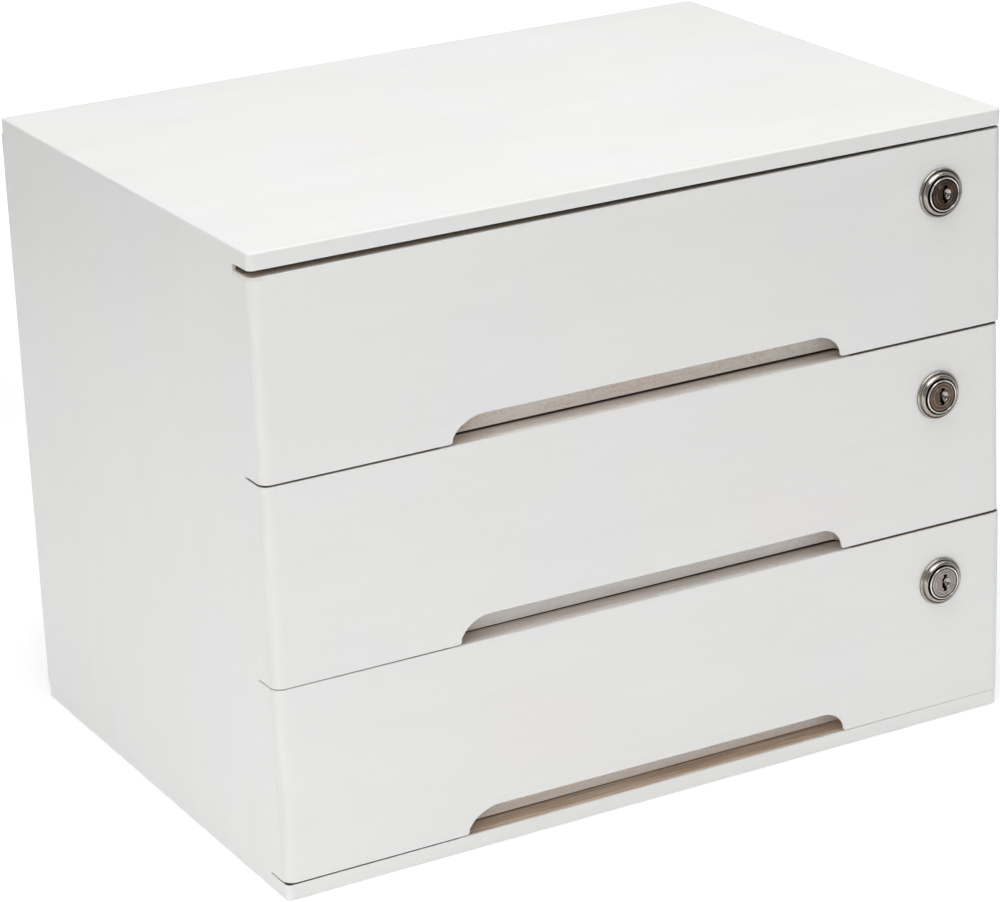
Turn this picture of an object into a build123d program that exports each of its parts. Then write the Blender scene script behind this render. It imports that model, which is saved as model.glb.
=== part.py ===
from build123d import *
import math
import os

# White painted wooden desktop cabinet with three locking drawers.
#
# Frame: millimetres, +X to the right as seen from the front, +Y to the back,
# +Z up.  The origin is the bottom centre of the whole object's box, so the
# cabinet stands on Z = 0 and the lock noses reach the lowest Y.

# ---------------------------------------------------------------- cabinet
X_LEFT = -182.0          # outer face of the left side
X_RIGHT = 180.0          # outer face of the right side
DEPTH = 255.0            # drawer-front face to back face
HEIGHT = 280.7           # outside height
LOCK_PROUD = 3.8         # lock plug stands this far out of the drawer front
Y_FRONT = -(DEPTH - LOCK_PROUD) / 2.0     # plane of the drawer-front faces
Y_BACK = Y_FRONT + DEPTH

TOP_T = 7.3              # top panel thickness
BOTTOM_T = 6.8           # bottom panel thickness
SIDE_T = 8.0             # cabinet side thickness
BACK_T = 4.0             # back panel thickness
BACK_RABBET = 4.0        # width of the step that the back panel sits in
SHELF_T = 6.0            # dust shelves between the drawers
SHELF_DADO = 3.0         # shelf ends let into the sides
PANEL_R = 3.0            # front corners of the top and bottom, seen from above
REAR_R = 2.0             # rear corners of the top and bottom panels

Z_TOP_UNDER = HEIGHT - TOP_T              # underside of the top panel
SHELF_UNDER = (181.4, 92.8)               # undersides of upper and lower shelf

# ---------------------------------------------------------------- drawers
FRONT_T = 15.0           # drawer-front board
SEAT_GAP = 0.05          # closed front to the cabinet side's front edge
CORNER_R = 5.0           # rounded upright edges of the fronts
EASE = 0.5               # softened upper and lower edges of the fronts
# z of each front's corners: bottom left, bottom right, top left, top right.
# The boards are trimmed a little out of square, so the gaps taper.
FRONT_Z = {
    "top":    (183.65, 184.00, 270.50, 272.05),
    "middle": (94.90, 94.65, 182.80, 182.80),
    "bottom": (7.42, 6.85, 94.65, 93.45),
}
# x of each front's right end, at the bottom and at the top
FRONT_XR = {"top": (181.3, 180.8), "middle": (181.2, 180.0),
            "bottom": (181.4, 182.0)}
# finger recess: an arched opening in the face, and behind its thin lip a slot
# with rounded rear corners that runs a little further to both sides
RECESS_X = {"top": (-95.1, 95.1), "middle": (-95.1, 95.1),
            "bottom": (-95.4, 95.4)}        # ends of the opening
RECESS_TOP = {"top": (194.35, 194.40), "middle": (105.75, 105.00),
              "bottom": (18.00, 16.95)}     # z at the left and right end
RECESS_SWEEP = {"top": (14.0, 11.5), "middle": (12.7, 9.9),
                "bottom": (14.3, 10.7)}     # width of each upper corner's curve
RECESS_FOOT = 1.5        # rounded lower corners of the opening
RECESS_LIP = 0.4         # softened edge around it
LIP_T = 1.0              # thickness of the lip in front of the slot
RECESS_DEPTH = 11.2      # leaves a 3.8 mm web at the back of the board
SLOT_X = {"top": (-99.8, 99.8), "middle": (-99.6, 99.6),
          "bottom": (-100.5, 100.5)}        # ends of the slot
SLOT_R = 3.0             # its rear corners
WEB_EASE = 0.5           # softened lower edge of the web

DRAWER_FLOOR = {"top": SHELF_UNDER[0] + SHELF_T,
                "middle": SHELF_UNDER[1] + SHELF_T,
                "bottom": BOTTOM_T}       # surface each drawer slides on
RUN_GAP = 0.5            # drawer side above the surface it slides on
SIDE_GAP = 1.0           # drawer side to cabinet side
BOX_SIDE_T = 7.0         # drawer side and back thickness
BOX_SIDE_H = 76.0        # drawer side height
BOX_DEPTH = 228.0        # drawer box behind the front board
FRONT_DADO = 4.0         # drawer side let into the front board
BACK_DADO = 3.0          # drawer back let into the sides
BACK_INSET = 3.0         # drawer back ahead of the sides' rear ends
FLOOR_T = 4.0            # drawer bottom
FLOOR_GROOVE = 3.0       # groove depth in sides
FLOOR_LIFT = {"top": 9.0, "middle": 9.2, "bottom": 12.7}   # bottom's height

# ---------------------------------------------------------------- locks
LOCK_POS = {"top": (147.2, 248.3), "middle": (146.1, 156.1),
            "bottom": (147.7, 67.5)}      # x, z of each lock's axis
FLANGE_R = 11.1
BARREL_R = 9.4
BARREL_FLAT = 8.6        # half width across the barrel's two flats
BARREL_L = 20.5          # behind the board's face
BOARD_HOLE_R = 9.5
BOARD_HOLE_FLAT = 8.7
BORE_R = 6.55            # housing bore
PLUG_R = 6.5             # plug body, a running fit in the bore
HEAD_R = 7.6             # plug head
CUP_R = 8.35             # open ring around the plug head
NUT_AF = 24.0            # across flats
NUT_T = 3.6
CAM_T = 2.0
CAM_W = 12.0
CAM_REACH = 29.3         # axis to tip
TAIL_SQ = 7.0            # square tail that carries the cam
PLUG_END = 21.3          # plug shoulder behind the board's face
SCREW_R = 2.0
WAFER_H = (3.0, 5.5, 8.0, 10.5, 13.0)     # wafer positions down the plug
WAFER_T = 0.7
WAFER_W = 7.1

SLOT_DEEP = 4.6          # mortise that a raised cam turns into
SLOT_Y0 = 21.0           # its front wall, behind the board's face
SLOT_Y1 = 25.4

NAMES = ("top", "middle", "bottom")


def block(x0, x1, y0, y1, z0, z1):
    return Pos((x0 + x1) / 2, (y0 + y1) / 2, (z0 + z1) / 2) * Box(
        abs(x1 - x0), abs(y1 - y0), abs(z1 - z0))


def at_lock(name, shape):
    """Local frame: x right, y up, z out of the drawer front."""
    x, z = LOCK_POS[name]
    return Pos(x, Y_FRONT, z) * Rot(90, 0, 0) * shape


def ring(profile):
    """Solid of revolution about local Z from (radius, height) points."""
    pts = [(r, 0, h) for r, h in profile]
    face = make_face(Polyline(*pts, close=True))
    return revolve(face, Axis.Z, 360)


def cyl(r, h0, h1):
    return Pos(0, 0, (h0 + h1) / 2) * Cylinder(r, abs(h1 - h0))


# ================================================================ cabinet
def slab(z0, z1, arris):
    """Full-size panel with rounded corners.  The arris over or under the
    drawer fronts is softened; behind them it meets the sides sharp."""
    y_cut = Y_FRONT + FRONT_T + SEAT_GAP
    s = block(X_LEFT, X_RIGHT, Y_FRONT, Y_BACK, z0, z1)
    s = fillet(s.edges().filter_by(Axis.Z).sort_by(Axis.Y)[:2], PANEL_R)
    s = fillet(s.edges().filter_by(Axis.Z).sort_by(Axis.Y)[-2:], REAR_R)
    strip = s & block(-300, 300, Y_FRONT - 5, y_cut, z0 - 5, z1 + 5)
    rear = s - block(-300, 300, Y_FRONT - 5, y_cut, z0 - 5, z1 + 5)
    which, radius = arris
    face = strip.faces().sort_by(Axis.Z)[which]
    strip = fillet([e for e in face.edges()
                    if e.center().Y < y_cut - 0.1], radius)
    return strip + rear


top_panel = slab(Z_TOP_UNDER, HEIGHT, (0, 0.4))
top_panel = fillet(top_panel.faces().sort_by(Axis.Z)[-1].edges(), 0.9)

bottom_panel = slab(0.0, BOTTOM_T, (-1, 0.25))
bottom_panel = fillet(bottom_panel.faces().sort_by(Axis.Z)[0].edges(), 0.4)


def side(sign):
    x_out = X_LEFT if sign < 0 else X_RIGHT
    x_in = x_out - sign * SIDE_T
    s = block(x_in, x_out, Y_FRONT + FRONT_T + SEAT_GAP, Y_BACK,
              BOTTOM_T, Z_TOP_UNDER)
    # step for the back panel
    s -= block(x_in, x_in + sign * BACK_RABBET,
               Y_BACK - BACK_T, Y_BACK + 1, BOTTOM_T - 1, Z_TOP_UNDER + 1)
    # housings for the two shelves
    for z in SHELF_UNDER:
        s -= block(x_in, x_in + sign * SHELF_DADO, Y_FRONT + FRONT_T - 1,
                   Y_BACK - BACK_T, z, z + SHELF_T)
    return s


left_side = side(-1)
right_side = side(1)

IN_LEFT = X_LEFT + SIDE_T         # inner faces of the two sides
IN_RIGHT = X_RIGHT - SIDE_T
back_panel = block(IN_LEFT - BACK_RABBET, IN_RIGHT + BACK_RABBET,
                   Y_BACK - BACK_T, Y_BACK, BOTTOM_T, Z_TOP_UNDER)


def cam_slot(name, z_under):
    """Mortise in the underside of the rail above a drawer."""
    x = LOCK_POS[name][0]
    return block(x - 16.6, x + 7.2, Y_FRONT + SLOT_Y0, Y_FRONT + SLOT_Y1,
                 z_under - 1.0, z_under + SLOT_DEEP)


def shelf(z, name_below):
    s = block(IN_LEFT - SHELF_DADO, IN_RIGHT + SHELF_DADO,
              Y_FRONT + FRONT_T + 0.5, Y_BACK - BACK_T, z, z + SHELF_T)
    return s - cam_slot(name_below, z)


top_panel -= cam_slot("top", Z_TOP_UNDER)
upper_shelf = shelf(SHELF_UNDER[0], "middle")
lower_shelf = shelf(SHELF_UNDER[1], "bottom")

# brads through the back panel, into the sides and the shelves' rear edges
PIN_R, PIN_HEAD_R, PIN_L = 0.7, 1.4, 16.0
pin_places = []
for x in (IN_LEFT - BACK_RABBET / 2, IN_RIGHT + BACK_RABBET / 2):
    for z in (24.0, 72.0, 140.0, 208.0, 256.0):
        pin_places.append((x, z))
for z in SHELF_UNDER:
    for x in (-110.0, 0.0, 110.0):
        pin_places.append((x, z + SHELF_T / 2))
pins = []
for x, z in pin_places:
    pin = cyl(PIN_R, -PIN_L, -0.7) + cyl(PIN_HEAD_R, -0.7, 0.0)
    pin = Pos(x, Y_BACK, z) * Rot(-90, 0, 0) * pin
    pins.append(pin)
    hole = cyl(PIN_R, -PIN_L, -0.7) + cyl(PIN_HEAD_R, -0.7, 0.5)
    hole = Pos(x, Y_BACK, z) * Rot(-90, 0, 0) * hole
    back_panel -= hole
    if x < IN_LEFT:
        left_side -= hole
    elif x > IN_RIGHT:
        right_side -= hole
    elif z > SHELF_UNDER[0]:
        upper_shelf -= hole
    else:
        lower_shelf -= hole
back_panel_pins = Compound(children=pins)


# ================================================================ drawers
def on_line(x, x0, z0, x1, z1):
    return z0 + (z1 - z0) * (x - x0) / (x1 - x0)


def bottom_at(name, x):
    """z of a front's lower edge at x."""
    zbl, zbr = FRONT_Z[name][:2]
    return on_line(x, X_LEFT, zbl, FRONT_XR[name][0], zbr)


def quarter(x0, z0, x1, z1, flat, n=7):
    """Points of a corner curve that leaves (x0, z0) upright and reaches
    (x1, z1) level: a quarter ellipse, flatter in its middle by flat."""
    return [(x0 + (x1 - x0) * (1 - math.cos(t) ** flat), 0,
             z0 + (z1 - z0) * math.sin(t) ** flat)
            for t in [math.pi / 2 * i / (n - 1) for i in range(n)]]


def recess(name):
    """Space routed out of a front for the fingers, open at the face and the
    lower edge: the opening in the lip, and the slot behind it."""
    x0, x1 = RECESS_X[name]
    tl, tr = RECESS_TOP[name]
    al, ar = RECESS_SWEEP[name]
    low = min(FRONT_Z[name][:2]) - 6.0
    f = RECESS_FOOT
    k = f * (1 - math.sqrt(0.5))
    bl, br = bottom_at(name, x0 - f), bottom_at(name, x1 + f)
    top_l = on_line(x0 + al, x0, tl, x1, tr)
    top_r = on_line(x1 - ar, x0, tl, x1, tr)
    left = quarter(x0, bl + f, x0 + al, top_l, 1.22)
    right = quarter(x1, br + f, x1 - ar, top_r, 1.08)
    slope = (tr - tl) / (x1 - x0)
    edges = [
        Line((x0 - f, 0, low), (x1 + f, 0, low)),
        Line((x1 + f, 0, low), (x1 + f, 0, br)),
        ThreePointArc((x1 + f, 0, br), (x1 + k, 0, br + k), (x1, 0, br + f)),
        Spline(*right, tangents=((0, 0, 1), (-1, 0, -slope))),
        Line((x1 - ar, 0, top_r), (x0 + al, 0, top_l)),
        Spline(*left[::-1], tangents=((-1, 0, -slope), (0, 0, -1))),
        ThreePointArc((x0, 0, bl + f), (x0 - k, 0, bl + k), (x0 - f, 0, bl)),
        Line((x0 - f, 0, bl), (x0 - f, 0, low)),
    ]
    face = make_face(Wire(edges))
    prism = Pos(0, Y_FRONT - 1.0, 0) * extrude(
        face, amount=LIP_T + 2.0, dir=(0, 1, 0))
    xc = (x0 + x1) / 2
    plate = Pos(xc, Y_FRONT - 1.0, (low + tl) / 2) * Box(
        x1 - x0 + 40, 2.0, 60)
    cutter = plate + prism
    lip = [e for e in cutter.edges()
           if abs(e.center().Y - Y_FRONT) < 0.02
           and abs(e.center().X - xc) < 100
           and low - 1 < e.center().Z < tl + 1]
    cutter = fillet(lip, RECESS_LIP)
    # the slot behind the lip
    s0, s1 = SLOT_X[name]
    slot = block(s0, s1, Y_FRONT + LIP_T, Y_FRONT + RECESS_DEPTH,
                 low, tl + 5)
    slot = fillet(slot.edges().filter_by(Axis.Z).sort_by(Axis.Y)[-2:], SLOT_R)
    roof = make_face(Polyline((-130, 0, low), (130, 0, low),
                              (130, 0, on_line(130, x0, tl, x1, tr)),
                              (-130, 0, on_line(-130, x0, tl, x1, tr)),
                              close=True))
    roof = Pos(0, Y_FRONT - 2, 0) * extrude(roof, amount=20, dir=(0, 1, 0))
    return cutter, slot & roof


def drawer(name):
    zbl, zbr, ztl, ztr = FRONT_Z[name]
    xrb, xrt = FRONT_XR[name]
    mid = (zbl + ztl) / 2
    # front board: elevation extruded through its thickness
    outline = Polyline((X_LEFT, 0, zbl), (xrb, 0, zbr), (xrt, 0, ztr),
                       (X_LEFT, 0, ztl), close=True)
    face = make_face(outline)
    board = extrude(face, amount=FRONT_T, dir=(0, 1, 0))
    board = Pos(0, Y_FRONT, 0) * board
    uprights = [e for e in board.edges()
                if abs(e.center().Y - Y_FRONT) < 0.01
                and abs(e.center().X) > 170]
    board = fillet(uprights, CORNER_R)
    for up in (False, True):
        rim = [e for e in board.edges()
               if e.center().Y < Y_FRONT + CORNER_R
               and abs(e.center().Z - mid) > 35
               and (e.center().Z > mid) == up]
        board = fillet(rim, 0.3 if name == "bottom" and not up else EASE)

    opening, slot = recess(name)
    board -= opening
    board -= slot
    web = [e for e in board.edges()
           if abs(e.center().Y - (Y_FRONT + RECESS_DEPTH)) < 0.01
           and e.center().Z < mid - 30 and e.length > 100
           and abs(e.center().Z - (zbl + zbr) / 2) < 1.0]
    board = fillet(web, WEB_EASE)

    z0 = DRAWER_FLOOR[name] + RUN_GAP           # lower edge of the box sides
    z1 = z0 + BOX_SIDE_H
    y0 = Y_FRONT + FRONT_T
    y1 = y0 + BOX_DEPTH
    # outer and inner faces of the box sides, left and right
    outer = (IN_LEFT + SIDE_GAP, IN_RIGHT - SIDE_GAP)
    inner = (outer[0] + BOX_SIDE_T, outer[1] - BOX_SIDE_T)
    zf0 = z0 + FLOOR_LIFT[name]
    zf1 = zf0 + FLOOR_T
    yb1 = y1 - BACK_INSET
    yb0 = yb1 - BOX_SIDE_T

    floor = block(inner[0] - FLOOR_GROOVE, inner[1] + FLOOR_GROOVE,
                  y0 - FLOOR_GROOVE, yb1, zf0, zf1)
    back = block(inner[0] - BACK_DADO, inner[1] + BACK_DADO,
                 yb0, yb1, zf1, z1)
    sides = []
    for sign, xi, xo in zip((-1, 1), inner, outer):
        s = block(xi, xo, y0 - FRONT_DADO, y1, z0, z1)
        # softened upper edges between front board and rear end
        s = fillet([e for e in s.edges().filter_by(Axis.Y)
                    if e.center().Z > z1 - 0.1], 1.2)
        # groove for the bottom, open at the rear so that it slides in
        s -= block(xi, xi + sign * FLOOR_GROOVE,
                   y0 - FLOOR_GROOVE, y1 + 1, zf0, zf1)
        s -= back
        sides.append(s)
    back = fillet([e for e in back.edges().filter_by(Axis.X)
                   if e.center().Z > z1 - 0.1], 1.2)
    # square sockets in the front board for the side boards' front ends
    for xi, xo in zip(inner, outer):
        board -= block(xi, xo, y0 - FRONT_DADO, y0 + 1, z0, z1)
    board -= floor

    # flatted round hole for the lock barrel
    hole = cyl(BOARD_HOLE_R, -FRONT_T - 1, 1.0) & (
        Box(40, 2 * BOARD_HOLE_FLAT, 60))
    board -= at_lock(name, hole)
    return board, sides[0], sides[1], back, floor


# ================================================================ locks
def lock(name):
    # --- housing: domed flange and threaded barrel
    prof = [(BORE_R, -BARREL_L), (BORE_R, 0.6), (CUP_R, 0.6), (CUP_R, 2.70),
            (8.42, 2.84), (8.54, 2.93), (8.70, 2.95), (8.88, 2.88),
            (9.08, 2.70), (9.30, 2.42), (9.50, 2.08), (9.68, 1.70),
            (9.82, 1.34), (9.91, 1.08), (10.02, 0.98), (10.13, 1.06),
            (10.24, 1.22), (10.40, 1.33), (10.60, 1.32), (10.80, 1.18),
            (10.97, 0.92), (11.07, 0.60), (FLANGE_R, 0.30), (11.02, 0.0),
            (BARREL_R, 0.0), (BARREL_R, -11.0)]
    h = 11.0
    while h < BARREL_L - 1.0:
        prof += [(BARREL_R - 0.45, -(h + 0.5)), (BARREL_R, -(h + 1.0))]
        h += 1.0
    prof += [(BARREL_R - 0.5, -BARREL_L)]
    housing = ring(prof)
    for sign in (-1, 1):
        housing -= Pos(0, sign * (BARREL_FLAT + 5), -BARREL_L / 2 - 0.5) * Box(
            40, 10, BARREL_L + 1.0)
    # grooves that the wafers drop into when the key is out
    groove = Pos(0, 0, -8.2) * Box(7.5, 15.8, 14.4)
    housing -= groove - cyl(BORE_R - 0.2, -20, 5)
    # quarter-turn pocket for the stop lug, at the rear end
    sector = cyl(8.25, -BARREL_L - 1, -19.1) - cyl(BORE_R - 0.1,
                                                   -BARREL_L - 2, -18.0)
    wedge = make_face(Polyline(
        (0, 0), *[(30 * math.cos(math.radians(a)),
                   30 * math.sin(math.radians(a)))
                  for a in (121, 150, 180, 210, 239)], close=True))
    wedge = Pos(0, 0, -25) * extrude(wedge, amount=10, dir=(0, 0, 1))
    housing -= sector & wedge

    # --- hexagonal nut behind the board
    nut = extrude(RegularPolygon(NUT_AF / 2, 6, major_radius=False,
                                 rotation=30), amount=NUT_T, dir=(0, 0, 1))
    nut = Pos(0, 0, -FRONT_T - NUT_T) * nut
    # corners turned down on the face away from the board
    bevel = Pos(0, 0, -FRONT_T - NUT_T / 2) * Cone(
        NUT_AF / 2 + 0.2, NUT_AF / 2 + 3.6, NUT_T)
    nut = nut & bevel
    nut -= cyl(BARREL_R, -FRONT_T - NUT_T - 1, -FRONT_T + 1)

    # --- plug
    plug = ring([(0, 3.6), (3.9, 3.6), (4.0, 3.5), (4.1, 3.6),
                 (4.7, 3.6), (4.8, 3.5), (4.9, 3.6), (5.5, 3.6),
                 (5.6, 3.5), (5.7, 3.6), (6.45, 3.6), (6.58, 3.25),
                 (6.88, 3.25), (7.0, 3.66), (7.12, 3.77),
                 (7.27, 3.8), (7.42, 3.76), (7.54, 3.64), (HEAD_R, 3.45),
                 (HEAD_R, 0.7), (PLUG_R, 0.7), (PLUG_R, -PLUG_END),
                 (0, -PLUG_END)])
    tail = Pos(0, 0, -PLUG_END - 0.95) * Box(TAIL_SQ, TAIL_SQ, 1.9)
    plug += tail
    key = make_face(Polyline(
        (-0.30, 4.0), (1.35, 4.0), (1.35, 2.85), (0.55, 1.95),
        (0.50, -1.65), (1.30, -2.50), (1.30, -4.0), (-0.35, -4.0),
        (-0.35, -2.75), (-1.15, -1.90), (-1.15, 2.05), (-0.30, 2.95),
        close=True))
    key = Pos(0, 0, -15.2) * extrude(key, amount=25, dir=(0, 0, 1))
    plug -= key
    # scooped lead-in on the keyway's right side, deeper at its lower end
    scoop = Pos(0.9, 0.1, 3.6 + 1.75) * Sphere(2.95)
    scoop = scoop & block(0.3, 6.0, -5.0, 5.0, 0.0, 6.0)
    plug -= scoop
    plug -= Pos(1.45, -1.05, 3.0) * Sphere(1.0)
    plug -= cyl(SCREW_R, -PLUG_END - 5, -16.2)
    for d in WAFER_H:
        plug -= Pos(0, 0, -d) * Box(WAFER_W, 20, WAFER_T + 0.1)
    # stop lug at the rear of the plug, down and to the left at rest
    lug = (cyl(7.95, -BARREL_L + 0.05, -19.3)
           - cyl(PLUG_R - 0.3, -BARREL_L - 2, -15))
    arm = Pos(-6, 0, -19.9) * Box(12, 2.6, 3)
    lug = lug & (Rot(0, 0, 45) * arm)
    plug += lug

    # --- wafers, drawn in flush as with a key in the plug
    wafers = []
    window = Box(4.6, 8.2, 2)
    for d in WAFER_H:
        w = Box(WAFER_W, 10.6, WAFER_T) & Cylinder(PLUG_R - 0.05, WAFER_T)
        wafers.append(at_lock(name, Pos(0, 0, -d) * (w - window)))

    # --- cam
    cam = (Pos(-CAM_REACH / 2, 0, 0) * Box(CAM_REACH, CAM_W, CAM_T)
           + Cylinder(8.0, CAM_T))
    cam = cam & Cylinder(CAM_REACH, CAM_T)
    cam -= Box(TAIL_SQ, TAIL_SQ, CAM_T + 1)
    cam = Pos(0, 0, -PLUG_END - CAM_T / 2) * cam

    # --- spring washer and cross-head screw that hold the cam on
    zb = -PLUG_END - CAM_T
    washer = cyl(4.6, zb - 0.9, zb) - cyl(SCREW_R + 0.15, zb - 2, zb + 1)
    head = cyl(3.9, zb - 0.9 - 2.6, zb - 0.9)
    head = fillet(head.faces().sort_by(Axis.Z)[0].edges(), 1.1)
    screw = head + cyl(SCREW_R, zb - 0.95, -17.0)
    for a in (0, 90):
        screw -= Pos(0, 0, zb - 3.5 + 0.6) * Rot(0, 0, a) * Box(0.9, 4.6, 1.6)

    return [at_lock(name, s) for s in (housing, nut, plug)] + [
        Compound(children=wafers)] + [
        at_lock(name, s) for s in (cam, washer, screw)]


# ================================================================ export
os.makedirs("parts", exist_ok=True)

nodes = {
    "top_panel": top_panel,
    "bottom_panel": bottom_panel,
    "left_side": left_side,
    "right_side": right_side,
    "back_panel": back_panel,
    "back_panel_pins": back_panel_pins,
    "upper_shelf": upper_shelf,
    "lower_shelf": lower_shelf,
}
for n in NAMES:
    board, ls, rs, bk, fl = drawer(n)
    nodes[n + "_drawer_front"] = board
    nodes[n + "_drawer_left_side"] = ls
    nodes[n + "_drawer_right_side"] = rs
    nodes[n + "_drawer_back"] = bk
    nodes[n + "_drawer_bottom"] = fl
    housing, nut, plug, wafers, cam, washer, screw = lock(n)
    nodes[n + "_lock_housing"] = housing
    nodes[n + "_lock_nut"] = nut
    nodes[n + "_lock_plug"] = plug
    nodes[n + "_lock_wafers"] = wafers
    nodes[n + "_lock_cam"] = cam
    nodes[n + "_lock_washer"] = washer
    nodes[n + "_lock_screw"] = screw

for name, shape in nodes.items():
    export_step(shape, "parts/" + name + ".step")
    b = shape.bounding_box()
    print("%-28s %9.1f mm3  x %.2f..%.2f  y %.2f..%.2f  z %.2f..%.2f" % (
        name, shape.volume, b.min.X, b.max.X, b.min.Y, b.max.Y,
        b.min.Z, b.max.Z))
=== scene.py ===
import math

import bpy
from mathutils import Matrix, Vector


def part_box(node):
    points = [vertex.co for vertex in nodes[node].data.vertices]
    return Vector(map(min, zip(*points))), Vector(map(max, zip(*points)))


# White painted wooden desktop cabinet with three locking drawers.
# Metres, +Z up, drawer fronts towards -Y.  Material patterns work in
# millimetres of the same frame.

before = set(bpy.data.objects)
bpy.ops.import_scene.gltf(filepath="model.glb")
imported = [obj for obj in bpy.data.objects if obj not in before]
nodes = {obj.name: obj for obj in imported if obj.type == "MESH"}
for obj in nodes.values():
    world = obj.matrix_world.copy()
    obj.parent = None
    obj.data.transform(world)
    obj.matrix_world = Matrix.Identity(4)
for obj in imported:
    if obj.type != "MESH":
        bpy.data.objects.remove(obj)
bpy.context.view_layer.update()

scene = bpy.context.scene
MM = 1000.0

Y_FRONT = -125.6
Y_BACK = 129.4
X_LEFT, X_RIGHT = -182.0, 180.0
FRONT_T = 15.0
CORNER = 5.0
RECESS_DEPTH = 11.2
LOCKS = {"top": (147.2, 248.3), "middle": (146.1, 156.1),
         "bottom": (147.7, 67.5)}
# z of each front's corners: bottom left, bottom right, top left, top right
FRONT_Z = {"top": (183.65, 184.00, 270.50, 272.05),
           "middle": (94.90, 94.65, 182.80, 182.80),
           "bottom": (7.42, 6.85, 94.65, 93.45)}


# ------------------------------------------------------------------ camera
cam_data = bpy.data.cameras.new("camera")
cam = bpy.data.objects.new("camera", cam_data)
scene.collection.objects.link(cam)
right = Vector((0.8721, -0.4878, -0.0378))
up = Vector((0.1991, 0.2833, 0.9381))
back = right.cross(up).normalized()
up = back.cross(right).normalized()
right = right.normalized()
rot = Matrix((right, up, back)).transposed()
cam.matrix_world = Matrix.Translation((-0.75804, -1.39006, 0.70344)) @ rot.to_4x4()
cam_data.sensor_fit = "HORIZONTAL"
cam_data.sensor_width = 36.0
cam_data.lens = 133.93
cam_data.clip_start = 0.05
cam_data.clip_end = 60.0
cam_data.dof.use_dof = False
scene.camera = cam


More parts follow.
